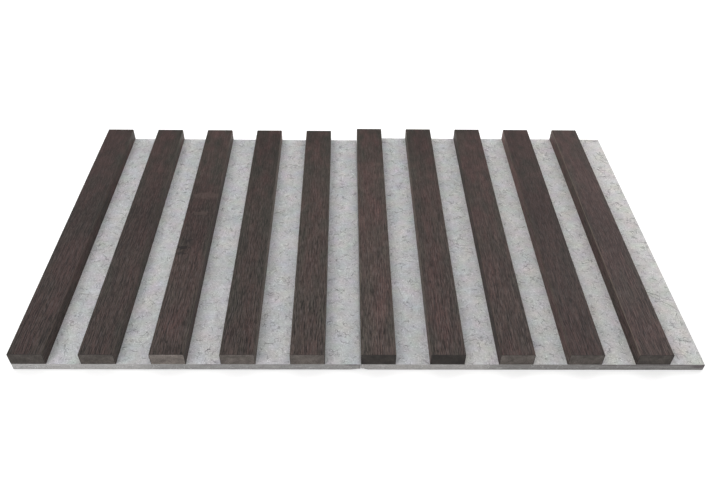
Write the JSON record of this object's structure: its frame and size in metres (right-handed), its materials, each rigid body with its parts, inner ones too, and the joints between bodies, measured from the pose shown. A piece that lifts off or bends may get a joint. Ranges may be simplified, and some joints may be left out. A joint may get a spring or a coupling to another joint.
{
  "type": "acoustic slat wall panel",
  "caption": "Flat wall panel: rectangular wood-grained slats, evenly spaced on a light grey pressed felt backing whose boards butt edge to edge.",
  "frame": {"origin": "middle of the back, in the plane of the wall", "axes": "+X across the slats towards the bare strip, +Y along the slats, +Z out from the wall; the panel lies on its back"},
  "size_m": [0.5624, 0.329, 0.0194],
  "materials": {
    "felt": "needle-punched polyester felt, marbled light grey",
    "slat_core": "dyed fibreboard, sawn ends",
    "slat_wrap": "smoked oak grain, matt",
    "staple_wire": "galvanised wire"
  },
  "bodies": {
    "root": {"left_felt_board": "felt", "right_felt_board": "felt", "slat_01_core": "slat_core", "slat_02_core": "slat_core", "slat_03_core": "slat_core", "slat_04_core": "slat_core", "slat_05_core": "slat_core", "slat_06_core": "slat_core", "slat_07_core": "slat_core", "slat_08_core": "slat_core", "slat_09_core": "slat_core", "slat_10_core": "slat_core", "slat_01_wrap": "slat_wrap", "slat_02_wrap": "slat_wrap", "slat_03_wrap": "slat_wrap", "slat_04_wrap": "slat_wrap", "slat_05_wrap": "slat_wrap", "slat_06_wrap": "slat_wrap", "slat_07_wrap": "slat_wrap", "slat_08_wrap": "slat_wrap", "slat_09_wrap": "slat_wrap", "slat_10_wrap": "slat_wrap", "left_staples": "staple_wire", "right_staples": "staple_wire"}
  },
  "joints": []
}
